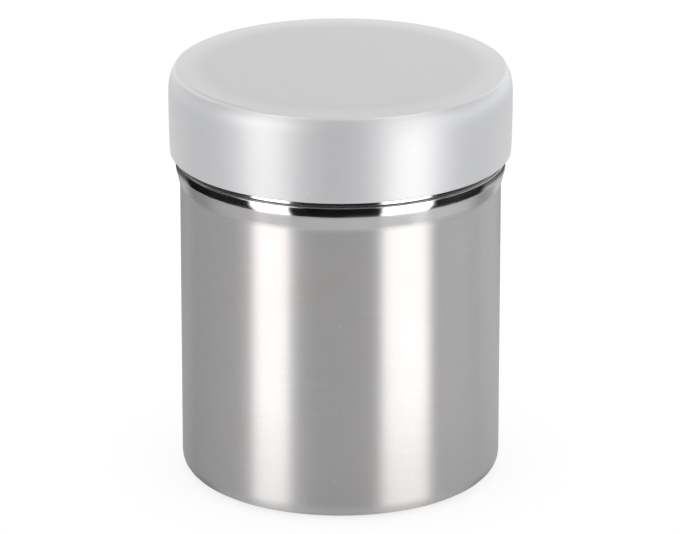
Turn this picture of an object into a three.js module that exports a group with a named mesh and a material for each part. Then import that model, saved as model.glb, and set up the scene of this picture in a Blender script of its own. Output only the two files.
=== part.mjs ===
// Stainless spice shaker with a screw-on sieve top and a frosted snap cap.
// Millimetres, +Z up. The origin is the centre of the ring that the can stands on.
import * as THREE from "three";

// Facets round the axis, and along each rounded stretch of an outline
const SEGMENTS = 48;
const ARC_STEPS = 3;
const FULL_TURN = 2 * Math.PI;
const QUARTER_TURN = Math.PI / 2;

// Gaps between pieces
const SEAT_GAP = 0.3; // between two pieces that rest on each other
const THREAD_CLEARANCE = 0.3; // radial, between the neck and the collar
const SNAP_CLEARANCE = 0.15; // radial, between the cap's snap bead and the collar

// Can, deep drawn from one sheet
const CAN_RADIUS = 35;
const CAN_WALL = 0.7;
const CAN_CORNER_RADIUS = 3; // outside, between the base and the wall
const CAN_STRAIGHT_HEIGHT = 65.2; // from the table to where the wall starts to flare
const FOOT_WIDTH = 2.5; // flat ring that the can stands on
const BASE_RECESS = 1.6; // the base panel's height over the table
const RECESS_SLOPE_WIDTH = 2;
const FLARE_HEIGHT = 5.1; // from the straight wall to the bead's crest
const BEAD_PROUD = 0.95; // how far the crest stands out of the wall
const BEAD_TOP_RADIUS = 0.9; // rounding from the crest to the shoulder
const NECK_FILLET_RADIUS = 0.4;
const RIM_CURL_RADIUS = 0.8; // of the mouth's inward curl

// Rolled thread that the neck and the collar share
const THREAD_PITCH = 3.2;
const THREAD_HEIGHT = 0.8;
const THREAD_TURNS = 1.5;
const THREAD_ROWS = 8; // bands of facets over the whole thread
const THREAD_FADE_SHARE = 0.2; // of its length, where it fades in and again where it fades out

// Sieve collar, which screws on the neck and shows as a polished strip under the cap
const COLLAR_PROUD = 0.2; // how far its skirt stands out of the can's wall
const COLLAR_WALL = 0.5;
const COLLAR_HEIGHT = 18.3;
const COLLAR_CORNER_RADIUS = 1.5;
const COLLAR_FLANGE_WIDTH = 4.6; // from the skirt's outside to the opening over the sieve
const COLLAR_SHOW = 1.75; // height of the strip that shows under the cap

// Sieve plate, ring that clamps it and gasket over the mouth
const PLATE_THICKNESS = 0.5;
const PLATE_DOME_HEIGHT = 0.9;
const PLATE_MARGIN = 2.4; // unpierced ring inside the collar's opening
const HOLE_RADIUS = 1.1;
const HOLE_RINGS = 4; // round the middle hole
const HOLES_PER_RING = 6; // in the first ring, and as many more in each next one
const HOLE_SEGMENTS = 8;
const CLAMP_WALL = 0.6;
const CLAMP_LEG_HEIGHT = 1.4; // how far the ring's leg hangs down round the gasket
const GASKET_THICKNESS = 1.5;
const GASKET_WIDTH = 2.3;
const GASKET_CHAMFER = 0.35;

// Snap cap, moulded in one piece
const CAP_WALL = 1.1;
const CAP_TOP_WALL = 1.2;
const CAP_SPACE = 0.83; // between the collar and the inside of the cap's wall at its foot
const CAP_BELLY = 0.27; // how far the wall bulges at its widest
const CAP_BELLY_HEIGHT = 11.3; // the widest place's height over the cap's foot
const CAP_TOP_TUCK = 0.3; // how far the wall comes in again under the shoulder
const CAP_SHOULDER_WIDTH = 1.2;
const CAP_SHOULDER_HEIGHT = 1.9;
const CAP_BAND_WIDTH = 5.2; // sloping ring between the shoulder and the crown
const CAP_CROWN_RISE = 0.3;
const CAP_LIP_RADIUS = 0.5;
const CAP_LEAD_IN = 0.3; // chamfer inside the foot
const CAP_SIDE_ROWS = 3; // bands of facets up the cap's wall
const SNAP_BEAD_HEIGHT = 1.8;
const SNAP_BEAD_LIFT = 0.9; // from the cap's foot to the underside of the bead
const SEAL_RIB_DEPTH = 0.6;
const SEAL_RIB_WIDTH = 1;
const SEAL_RIB_TAPER = 0.15; // on each flank

// Radii worked out from the sizes above
const collarRadius = CAN_RADIUS + COLLAR_PROUD;
const collarBore = collarRadius - COLLAR_WALL;
const collarOpening = collarRadius - COLLAR_FLANGE_WIDTH;
const neckRadius = collarBore - THREAD_CLEARANCE - THREAD_HEIGHT;
const clampRadius = collarBore - SEAT_GAP;
const gasketRadius = clampRadius - CLAMP_WALL - SEAT_GAP;
const plateRadius = collarRadius - COLLAR_CORNER_RADIUS;
const capBore = collarRadius + CAP_SPACE;
const capFootRadius = capBore + CAP_WALL;
const capBellyRadius = capFootRadius + CAP_BELLY;
const capShoulderRadius = capBellyRadius - CAP_TOP_TUCK;

// Heights over the table, worked out from the sizes above
const crestHeight = CAN_STRAIGHT_HEIGHT + FLARE_HEIGHT;
const shoulderHeight = crestHeight + BEAD_TOP_RADIUS;
const collarFoot = shoulderHeight + SEAT_GAP;
const collarTop = collarFoot + COLLAR_HEIGHT;
const plateTop = collarTop - COLLAR_WALL - SEAT_GAP;
const clampTop = plateTop - PLATE_THICKNESS - SEAT_GAP;
const gasketTop = clampTop - CLAMP_WALL - SEAT_GAP;
const rimHeight = gasketTop - GASKET_THICKNESS - SEAT_GAP;
const capFoot = collarFoot + COLLAR_SHOW;
const capInside = collarTop + SEAT_GAP + SEAL_RIB_DEPTH;
const capTop = capInside + CAP_TOP_WALL;
const capSideTop = capTop - CAP_SHOULDER_HEIGHT;

// The thread lies in the middle of the neck
const threadLength = THREAD_PITCH * THREAD_TURNS;
const threadMiddle = (shoulderHeight + NECK_FILLET_RADIUS + rimHeight - 2 * RIM_CURL_RADIUS) / 2;
const threadFoot = threadMiddle - threadLength / 2;

// Outline points are (radius, height)
const at = (radius, height) => new THREE.Vector2(radius, height);

/** Points along part of an ellipse in the outline's plane, both ends included. */
function arc(centreRadius, centreHeight, halfWidth, halfHeight, from, to, steps = ARC_STEPS) {
  const curve = new THREE.EllipseCurve(
    centreRadius, centreHeight, halfWidth, halfHeight, from, to, to < from,
  );
  return curve.getPoints(steps);
}

/** The solid that an outline makes when it is turned round the Z axis. */
function turned(outline) {
  return new THREE.LatheGeometry(outline, SEGMENTS).rotateX(QUARTER_TURN);
}

/** An outline that is joined back to its first point, for a ring. */
function looped(outline) {
  return [...outline, outline[0].clone()];
}

/** Points of a regular polygon, as an outline or a hole of a flat shape. */
function polygon(centreX, centreY, radius, sides) {
  return Array.from({ length: sides }, (_, side) => {
    const angle = (FULL_TURN * side) / sides;
    return at(centreX + radius * Math.cos(angle), centreY + radius * Math.sin(angle));
  });
}

/** Points up a plain wall of the given radius, one for each row of the thread. */
function threadRows(radius) {
  return Array.from({ length: THREAD_ROWS + 1 }, (_, row) =>
    at(radius, threadFoot + (threadLength * row) / THREAD_ROWS));
}

/** How much of the thread's full height there is at a height: it fades in and out at its ends. */
function threadStrength(height) {
  const share = (height - threadFoot) / threadLength;
  const fromEnd = Math.min(share, 1 - share) / THREAD_FADE_SHARE;
  return THREE.MathUtils.smoothstep(fromEnd, 0, 1);
}

/** The thread's wave, from 0 in the groove to 1 on the crest, a right-hand helix. */
function threadWave(angle, height) {
  return (1 + Math.cos((FULL_TURN * height) / THREAD_PITCH - angle)) / 2;
}

/** Presses a helical wave into the threaded stretch of a turned wall, inside and outside alike. */
function rollThread(geometry, push) {
  const points = geometry.getAttribute("position");
  const inward = CAN_WALL + THREAD_HEIGHT;
  for (let i = 0; i < points.count; i++) {
    const [x, y, height] = [points.getX(i), points.getY(i), points.getZ(i)];
    const radius = Math.hypot(x, y);
    if (radius < neckRadius - inward) continue;
    const strength = threadStrength(height);
    if (strength <= 0) continue;
    const wave = threadWave(Math.atan2(y, x), height);
    const grown = (radius + push(wave) * strength) / radius;
    points.setXY(i, x * grown, y * grown);
  }
  return geometry;
}

/** The wall's swell from the straight side to the bead's crest, without its first and last point. */
function flare(startRadius) {
  return Array.from({ length: ARC_STEPS }, (_, step) => {
    const share = (step + 1) / (ARC_STEPS + 1);
    const swell = BEAD_PROUD * THREE.MathUtils.smoothstep(share, 0, 1);
    return at(startRadius + swell, CAN_STRAIGHT_HEIGHT + FLARE_HEIGHT * share);
  });
}

/** The drawn can: recessed base, foot ring, straight wall, bead, threaded neck and curled mouth. */
function canBody() {
  const footOuter = CAN_RADIUS - CAN_CORNER_RADIUS;
  const footInner = footOuter - FOOT_WIDTH;
  const recessEdge = footInner - RECESS_SLOPE_WIDTH;
  const slopeShift = CAN_WALL * Math.tan(Math.atan2(BASE_RECESS, RECESS_SLOPE_WIDTH) / 2);
  const innerCorner = CAN_CORNER_RADIUS - CAN_WALL;
  const innerWall = CAN_RADIUS - CAN_WALL;
  const beadCentre = CAN_RADIUS + BEAD_PROUD - BEAD_TOP_RADIUS;
  const innerBead = BEAD_TOP_RADIUS - CAN_WALL;
  const filletCentre = [neckRadius + NECK_FILLET_RADIUS, shoulderHeight + NECK_FILLET_RADIUS];
  const innerFillet = NECK_FILLET_RADIUS + CAN_WALL;
  const neckBore = neckRadius - CAN_WALL;
  const curlCentre = [neckRadius - RIM_CURL_RADIUS, rimHeight - RIM_CURL_RADIUS];
  const curlEnd = FULL_TURN - Math.acos((neckBore - curlCentre[0]) / RIM_CURL_RADIUS);
  const outside = [
    at(0, BASE_RECESS),
    at(recessEdge, BASE_RECESS),
    at(footInner, 0),
    ...arc(footOuter, CAN_CORNER_RADIUS, CAN_CORNER_RADIUS, CAN_CORNER_RADIUS, -QUARTER_TURN, 0),
    at(CAN_RADIUS, CAN_STRAIGHT_HEIGHT),
    ...flare(CAN_RADIUS),
    ...arc(beadCentre, crestHeight, BEAD_TOP_RADIUS, BEAD_TOP_RADIUS, 0, QUARTER_TURN),
    ...arc(...filletCentre, NECK_FILLET_RADIUS, NECK_FILLET_RADIUS, -QUARTER_TURN, -Math.PI, 2),
    ...threadRows(neckRadius),
  ];
  const mouth = arc(...curlCentre, RIM_CURL_RADIUS, RIM_CURL_RADIUS, 0, curlEnd, 2 * ARC_STEPS);
  const inside = [
    ...threadRows(neckBore).reverse(),
    ...arc(...filletCentre, innerFillet, innerFillet, -Math.PI, -QUARTER_TURN, 2),
    ...arc(beadCentre, crestHeight, innerBead, innerBead, QUARTER_TURN, 0, 2),
    ...flare(innerWall).reverse(),
    at(innerWall, CAN_STRAIGHT_HEIGHT),
    ...arc(footOuter, CAN_CORNER_RADIUS, innerCorner, innerCorner, 0, -QUARTER_TURN),
    at(footInner + slopeShift, CAN_WALL),
    at(recessEdge + slopeShift, BASE_RECESS + CAN_WALL),
    at(0, BASE_RECESS + CAN_WALL),
  ];
  const can = turned([...outside, ...mouth, ...inside]);
  return rollThread(can, (wave) => THREAD_HEIGHT * wave);
}

/** The screw collar: a skirt with the thread rolled into it and a flat flange over the sieve. */
function sieveCollar() {
  const corner = [collarRadius - COLLAR_CORNER_RADIUS, collarTop - COLLAR_CORNER_RADIUS];
  const innerCorner = COLLAR_CORNER_RADIUS - COLLAR_WALL;
  const outline = [
    at(collarRadius, collarFoot),
    ...threadRows(collarRadius),
    ...arc(...corner, COLLAR_CORNER_RADIUS, COLLAR_CORNER_RADIUS, 0, QUARTER_TURN),
    at(collarOpening, collarTop),
    at(collarOpening, collarTop - COLLAR_WALL),
    ...arc(...corner, innerCorner, innerCorner, QUARTER_TURN, 0),
    ...threadRows(collarBore).reverse(),
    at(collarBore, collarFoot),
  ];
  const collar = turned(looped(outline));
  return rollThread(collar, (wave) => THREAD_HEIGHT * (wave - 1));
}

/** Centres of the sieve's holes: one in the middle, and rings that each hold six more. */
function holeCentres(fieldRadius) {
  const centres = [at(0, 0)];
  const ringStep = fieldRadius / HOLE_RINGS;
  for (let ring = 1; ring <= HOLE_RINGS; ring++) {
    const count = ring * HOLES_PER_RING;
    centres.push(...polygon(0, 0, ring * ringStep, count));
  }
  return centres;
}

/** The pierced disc, pressed into a shallow dome inside its flat edge. */
function sievePlate() {
  const domeRadius = collarOpening - SEAT_GAP;
  const fieldRadius = collarOpening - PLATE_MARGIN - HOLE_RADIUS;
  const disc = new THREE.Shape(polygon(0, 0, plateRadius, SEGMENTS));
  disc.holes = holeCentres(fieldRadius).map((centre) =>
    new THREE.Path(polygon(centre.x, centre.y, HOLE_RADIUS, HOLE_SEGMENTS)));
  const plate = new THREE.ExtrudeGeometry(disc, { depth: PLATE_THICKNESS, bevelEnabled: false });
  const points = plate.getAttribute("position");
  for (let i = 0; i < points.count; i++) {
    const share = Math.min(Math.hypot(points.getX(i), points.getY(i)) / domeRadius, 1);
    points.setZ(i, points.getZ(i) + PLATE_DOME_HEIGHT * (1 - share * share));
  }
  return plate;
}

/** The angled ring that holds the plate up against the flange and the gasket inside its leg. */
function clampRing() {
  const webFoot = clampTop - CLAMP_WALL;
  const legFoot = webFoot - CLAMP_LEG_HEIGHT;
  return turned(looped([
    at(clampRadius, legFoot),
    at(clampRadius, clampTop),
    at(collarOpening, clampTop),
    at(collarOpening, webFoot),
    at(clampRadius - CLAMP_WALL, webFoot),
    at(clampRadius - CLAMP_WALL, legFoot),
  ]));
}

/** The soft ring between the can's curled mouth and the clamp ring. */
function mouthGasket() {
  const bore = gasketRadius - GASKET_WIDTH;
  const foot = gasketTop - GASKET_THICKNESS;
  return turned(looped([
    at(bore + GASKET_CHAMFER, foot),
    at(gasketRadius - GASKET_CHAMFER, foot),
    at(gasketRadius, foot + GASKET_CHAMFER),
    at(gasketRadius, gasketTop - GASKET_CHAMFER),
    at(gasketRadius - GASKET_CHAMFER, gasketTop),
    at(bore + GASKET_CHAMFER, gasketTop),
    at(bore, gasketTop - GASKET_CHAMFER),
    at(bore, foot + GASKET_CHAMFER),
  ]));
}

/** The cap's outside radius at a height: widest at the belly, and drawn in above and below it. */
function capSide(height) {
  const bellyHeight = capFoot + CAP_BELLY_HEIGHT;
  if (height < bellyHeight) {
    const share = (bellyHeight - height) / CAP_BELLY_HEIGHT;
    return capBellyRadius - CAP_BELLY * share * share;
  }
  const share = (height - bellyHeight) / (capSideTop - bellyHeight);
  return capBellyRadius - CAP_TOP_TUCK * share * share;
}

/** Points up one face of the cap's wall between two heights, both ends included. */
function capWall(from, to, wall) {
  return Array.from({ length: CAP_SIDE_ROWS + 1 }, (_, row) => {
    const height = from + ((to - from) * row) / CAP_SIDE_ROWS;
    return at(capSide(height) - wall, height);
  });
}

/** The moulded cap: domed top, rounded shoulder, bulged wall, snap bead and sealing rib. */
function snapCap() {
  const ribMiddle = (collarOpening + collarRadius - COLLAR_CORNER_RADIUS) / 2;
  const ribTip = SEAL_RIB_WIDTH / 2 - SEAL_RIB_TAPER;
  const ribFoot = capInside - SEAL_RIB_DEPTH;
  const beadFoot = capFoot + SNAP_BEAD_LIFT;
  const beadMiddle = beadFoot + SNAP_BEAD_HEIGHT / 2;
  const beadReach = capSide(beadMiddle) - CAP_WALL - collarRadius - SNAP_CLEARANCE;
  const beadBase = capSide(beadMiddle) - CAP_WALL;
  const shoulderCentre = [capShoulderRadius - CAP_SHOULDER_WIDTH, capSideTop];
  const innerShoulder = [CAP_SHOULDER_WIDTH, capInside - capSideTop];
  const innerCentre = [shoulderCentre[0] - CAP_WALL, capSideTop];
  const lipCentre = capFoot + CAP_LIP_RADIUS;
  const crownEdge = shoulderCentre[0] - CAP_BAND_WIDTH;
  const underside = [
    at(0, capInside),
    at(ribMiddle - SEAL_RIB_WIDTH / 2, capInside),
    at(ribMiddle - ribTip, ribFoot),
    at(ribMiddle + ribTip, ribFoot),
    at(ribMiddle + SEAL_RIB_WIDTH / 2, capInside),
    ...arc(...innerCentre, ...innerShoulder, QUARTER_TURN, 0),
    ...capWall(beadFoot + SNAP_BEAD_HEIGHT, capSideTop, CAP_WALL).reverse().slice(1),
  ];
  const bead = arc(
    beadBase, beadMiddle, beadReach, SNAP_BEAD_HEIGHT / 2, QUARTER_TURN, 3 * QUARTER_TURN, 4,
  ).slice(1);
  const foot = [
    at(capSide(capFoot) - CAP_WALL, capFoot + CAP_LEAD_IN),
    at(capSide(capFoot) - CAP_WALL + CAP_LEAD_IN, capFoot),
    ...arc(capSide(lipCentre) - CAP_LIP_RADIUS, lipCentre, CAP_LIP_RADIUS, CAP_LIP_RADIUS,
      -QUARTER_TURN, 0, 2),
  ];
  const outside = [
    ...capWall(lipCentre, capSideTop, 0).slice(1, -1),
    ...arc(...shoulderCentre, CAP_SHOULDER_WIDTH, CAP_SHOULDER_HEIGHT, 0, QUARTER_TURN, 4),
    at(crownEdge, capTop + CAP_CROWN_RISE),
    at(0, capTop + CAP_CROWN_RISE),
  ];
  return turned([...underside, ...bead, ...foot, ...outside]);
}

/** A named piece with a finish of its own. */
function piece(name, geometry, color, roughness, metalness) {
  const material = new THREE.MeshStandardMaterial({ color, roughness, metalness });
  const mesh = new THREE.Mesh(geometry, material);
  mesh.name = name;
  return mesh;
}

/** The sieve top, which unscrews from the can as one unit. */
function sieveTop() {
  const top = new THREE.Group();
  const plate = piece("sieve_plate", sievePlate(), 0xc4c4c2, 0.3, 1);
  plate.position.z = plateTop - PLATE_THICKNESS;
  top.add(
    piece("sieve_collar", sieveCollar(), 0xd6d5d3, 0.08, 1),
    plate,
    piece("sieve_clamp_ring", clampRing(), 0xbdbcba, 0.35, 1),
  );
  return top;
}

const shaker = new THREE.Group();
shaker.add(
  piece("can_body", canBody(), 0xa8a4a2, 0.32, 1),
  piece("mouth_gasket", mouthGasket(), 0xe9e7e2, 0.6, 0),
  sieveTop(),
  piece("snap_cap", snapCap(), 0xd2d4d8, 0.4, 0),
);

export default shaker;
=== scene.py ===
"""Stainless spice shaker: its looks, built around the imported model.

The classes hold their sizes in millimetres, and a mesh is made in metres, where the model has it.
"""

from __future__ import annotations

import logging
import math
from dataclasses import dataclass, field
from enum import Enum
from typing import Any, Callable, Iterable

import bmesh
import bpy
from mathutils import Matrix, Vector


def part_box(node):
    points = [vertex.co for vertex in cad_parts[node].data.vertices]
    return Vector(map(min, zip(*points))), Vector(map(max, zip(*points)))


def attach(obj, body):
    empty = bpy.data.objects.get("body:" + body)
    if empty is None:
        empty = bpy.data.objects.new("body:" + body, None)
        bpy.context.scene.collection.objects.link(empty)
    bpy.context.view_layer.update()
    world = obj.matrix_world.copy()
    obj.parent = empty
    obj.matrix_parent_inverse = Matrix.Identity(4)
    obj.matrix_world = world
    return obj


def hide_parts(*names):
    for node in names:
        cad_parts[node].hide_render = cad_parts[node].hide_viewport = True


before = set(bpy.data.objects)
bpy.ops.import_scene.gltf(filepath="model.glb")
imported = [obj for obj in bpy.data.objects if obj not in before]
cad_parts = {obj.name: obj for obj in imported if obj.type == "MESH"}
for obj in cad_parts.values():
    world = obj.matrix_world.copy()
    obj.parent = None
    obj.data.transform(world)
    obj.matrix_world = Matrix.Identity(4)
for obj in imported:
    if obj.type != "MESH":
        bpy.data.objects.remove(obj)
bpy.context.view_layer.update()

log = logging.getLogger("shaker")

MM = 0.001  # metres in a millimetre
QUARTER_TURN = math.pi / 2
FULL_TURN = 2 * math.pi
PHOTO_WIDTH_PX = 680
ROUNDING = "rounding"  # attribute of an outline's points

Colour = tuple[float, float, float]


class Kind(Enum):
    """Types of the named inputs of a geometry recipe."""

    SHAPE = "NodeSocketGeometry"
    LENGTH = "NodeSocketFloat"
    COUNT = "NodeSocketInt"
    FINISH = "NodeSocketMaterial"


class Ends(Enum):
    """How the outline of a turned piece ends."""

    ON_AXIS = "on the axis"
    JOINED = "joined to its own start"


class Seen(Enum):
    """Rays that can see a thing in the studio."""

    BY_ALL_BUT_SHINE = ("visible_camera", "visible_diffuse", "visible_shadow", "visible_transmission")
    BY_SHINE = ("visible_glossy",)


def operator(operation: str, swapped: bool = False) -> Callable[[Term, Any], Term]:
    """Make an operator that joins a term and another value by a Math node.

    Args:
        operation: the node's operation.
        swapped: the other value comes first, as in 1 - mask.

    Returns:
        The operator's method.
    """
    def joined(term: Term, other: Any) -> Term:
        """The result of the operation."""
        return term.board.maths(operation, *((other, term) if swapped else (term, other)))

    return joined


class Term:
    """A socket in a sum. Each operator adds the Math node that it stands for."""

    def __init__(self, board: Board, socket: bpy.types.NodeSocket) -> None:
        """Wrap a socket of a tree under construction."""
        self.board = board
        self.socket = socket

    __add__, __radd__ = operator("ADD"), operator("ADD", swapped=True)
    __sub__, __rsub__ = operator("SUBTRACT"), operator("SUBTRACT", swapped=True)
    __mul__, __rmul__ = operator("MULTIPLY"), operator("MULTIPLY", swapped=True)
    __truediv__, __rtruediv__ = operator("DIVIDE"), operator("DIVIDE", swapped=True)
    __pow__ = operator("POWER")


class Board:
    """A node tree under construction."""

    def __init__(self, tree: bpy.types.NodeTree) -> None:
        """Take a tree to add nodes to."""
        self.tree = tree

    def node(self, kind: str, settings: dict[str, Any] | None = None,
             sockets: dict[Any, Any] | None = None) -> bpy.types.Node:
        """Add a node.

        Args:
            kind: the node's type.
            settings: its own properties, which are set first.
            sockets: a value or a link for each input, by its name or its number.

        Returns:
            The new node.
        """
        made = self.tree.nodes.new(kind)
        for name, value in (settings or {}).items():
            setattr(made, name, value)
        for key, value in (sockets or {}).items():
            self.plug(self.entry(made, key), value)
        return made

    def entry(self, node: bpy.types.Node, key: Any) -> bpy.types.NodeSocket:
        """Find an input of a node.

        Args:
            node: the node.
            key: the input's number, or its name among those that the node's settings leave in use.

        Returns:
            The input socket.
        """
        if isinstance(key, int):
            return node.inputs[key]
        return next(socket for socket in node.inputs if socket.enabled and socket.name == key)

    def plug(self, socket: bpy.types.NodeSocket, value: Any) -> None:
        """Link a term to a socket, or set the socket's own value."""
        if isinstance(value, Term):
            self.tree.links.new(value.socket, socket)
        else:
            socket.default_value = value

    def term(self, kind: str, settings: dict[str, Any] | None = None,
             sockets: dict[Any, Any] | None = None, output: Any = 0) -> Term:
        """Add a node and take one of its outputs.

        Args:
            kind: the node's type.
            settings: its own properties.
            sockets: a value or a link for each input.
            output: the output's number or name.

        Returns:
            The output as a term.
        """
        made = self.node(kind, settings, sockets)
        if isinstance(output, int):
            free = [socket for socket in made.outputs if socket.enabled]
            return Term(self, free[output])
        return Term(self, made.outputs[output])

    def maths(self, operation: str, *values: Any) -> Term:
        """Add a Math node on one to three values."""
        return self.term("ShaderNodeMath", {"operation": operation}, dict(enumerate(values)))

    def vector(self, x: Any, y: Any, z: Any) -> Term:
        """Join three numbers to a vector."""
        return self.term("ShaderNodeCombineXYZ", None, {0: x, 1: y, 2: z})

    def split(self, vector: Term) -> tuple[Term, Term, Term]:
        """Split a vector into its three numbers."""
        made = self.node("ShaderNodeSeparateXYZ", None, {0: vector})
        x, y, z = made.outputs
        return Term(self, x), Term(self, y), Term(self, z)

    def ramp(self, value: Any, start: Any, end: Any) -> Term:
        """Rise smoothly from 0 at the start to 1 at the end, or fall where the end is the lower."""
        return self.term("ShaderNodeMapRange", {"interpolation_type": "SMOOTHSTEP"},
                         {"Value": value, "From Min": start, "From Max": end, "To Min": 0.0, "To Max": 1.0})

    def least(self, first: Any, second: Any) -> Term:
        """The smaller of two values."""
        return self.maths("MINIMUM", first, second)


class Recipe(Board):
    """A geometry tree with named inputs, which ends in Realize Instances and Set Material."""

    def __init__(self, name: str) -> None:
        """Start an empty tree."""
        super().__init__(bpy.data.node_groups.new(name, "GeometryNodeTree"))
        self.asked = self.tree.nodes.new("NodeGroupInput")
        self.tree.interface.new_socket(name="Shape", in_out="OUTPUT", socket_type=Kind.SHAPE.value)
        self.ask("Shape", Kind.SHAPE)
        self.finish = self.ask("Finish", Kind.FINISH)

    def ask(self, name: str, kind: Kind) -> Term:
        """Add a named input to the tree.

        Args:
            name: the input's name.
            kind: what it holds.

        Returns:
            The input as a term.
        """
        self.tree.interface.new_socket(name=name, in_out="INPUT", socket_type=kind.value)
        return Term(self, self.asked.outputs[name])

    def lengths(self, *names: str) -> list[Term]:
        """Add a named length for each name."""
        return [self.ask(name, Kind.LENGTH) for name in names]

    def join(self, *shapes: Term) -> Term:
        """Join shapes to one."""
        joined = self.node("GeometryNodeJoinGeometry")
        for shape in shapes:
            self.plug(joined.inputs[0], shape)
        return Term(self, joined.outputs[0])

    def end(self, shape: Term) -> None:
        """Close the tree: the shape is made real and takes the finish."""
        real = self.term("GeometryNodeRealizeInstances", None, {"Geometry": shape})
        dressed = self.term("GeometryNodeSetMaterial", None, {"Geometry": real, "Material": self.finish})
        leave = self.tree.nodes.new("NodeGroupOutput")
        self.plug(leave.inputs[0], dressed)

    def smooth(self, shape: Term, crease_angle: float) -> Term:
        """Shade a shape smooth, apart from edges that turn by more than an angle in radians."""
        soft = self.term("GeometryNodeSetShadeSmooth", {"domain": "FACE"}, {"Geometry": shape})
        turn = self.term("GeometryNodeInputMeshEdgeAngle")
        sharp = self.term("FunctionNodeCompare", {"data_type": "FLOAT", "operation": "GREATER_THAN"},
                          {"A": turn, "B": crease_angle})
        return self.term("GeometryNodeSetShadeSmooth", {"domain": "EDGE"},
                         {"Geometry": soft, "Selection": sharp, "Shade Smooth": False})


@dataclass
class Outline:
    """Corners of a turned piece's outline: radius, height and rounding, in millimetres."""

    ends: Ends
    corners: list[tuple[float, float, float]] = field(default_factory=list)

    def go(self, radius: float, height: float, rounding: float = 0.0) -> Outline:
        """Add a corner, with the radius that it is rounded to."""
        self.corners.append((radius, height, rounding))
        return self

    def follow(self, points: Iterable[tuple[float, float]]) -> Outline:
        """Add points of a curve, none of them rounded."""
        for radius, height in points:
            self.go(radius, height)
        return self

    def wire(self, name: str, guide: float) -> bpy.types.Object:
        """Make the outline a wire that a recipe can turn.

        Args:
            name: the object's name.
            guide: radius of the circle that the outline is carried round, in millimetres.

        Returns:
            An object of points and edges, with each point's rounding as an attribute.
        """
        count = len(self.corners)
        points = [((radius - guide) * MM, -height * MM, 0.0) for radius, height, _ in self.corners]
        edges = [(i, i + 1) for i in range(count - 1)]
        if self.ends is Ends.JOINED:
            edges.append((count - 1, 0))
        mesh = bpy.data.meshes.new(name)
        mesh.from_pydata(points, edges, [])
        rounding = mesh.attributes.new(ROUNDING, "FLOAT", "POINT")
        rounding.data.foreach_set("value", [corner[2] * MM for corner in self.corners])
        wired = bpy.data.objects.new(name, mesh)
        bpy.context.scene.collection.objects.link(wired)
        return wired


def arc_points(centre: tuple[float, float], half_width: float, half_height: float,
               start: float, end: float, steps: int) -> list[tuple[float, float]]:
    """Points along part of an ellipse in the outline's plane.

    Args:
        centre: radius and height of its middle.
        half_width: half of its size across.
        half_height: half of its size up.
        start: angle of the first point, in radians.
        end: angle of the last point.
        steps: stretches between them.

    Returns:
        The points as radius and height, both ends included.
    """
    angles = [start + (end - start) * step / steps for step in range(steps + 1)]
    return [(centre[0] + half_width * math.cos(a), centre[1] + half_height * math.sin(a)) for a in angles]


@dataclass(frozen=True)
class RolledThread:
    """The helical wave that the neck and the collar share."""

    foot: float
    length: float
    pitch: float
    height: float = 0.8
    fade_share: float = 0.2  # of its length, where it fades in and again where it fades out
    rows: int = 36  # of faces over the whole thread

    def wall(self, radius: float) -> list[tuple[float, float]]:
        """Points up a plain wall, one for each row of the thread."""
        return [(radius, self.foot + self.length * row / self.rows) for row in range(self.rows + 1)]

    def inputs(self, base: float, inner_limit: float) -> dict[str, float]:
        """Lengths that the turning recipe asks for, in metres.

        Args:
            base: how far the groove's floor moves out, in millimetres.
            inner_limit: radius inside which nothing moves.

        Returns:
            The recipe's named inputs.
        """
        return {
            "Thread Foot": self.foot * MM,
            "Thread Length": self.length * MM,
            "Thread Pitch": self.pitch * MM,
            "Thread Height": self.height * MM,
            "Thread Base": base * MM,
            "Thread Fade Share": self.fade_share,
            "Thread Inner Limit": inner_limit * MM,
        }


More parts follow.
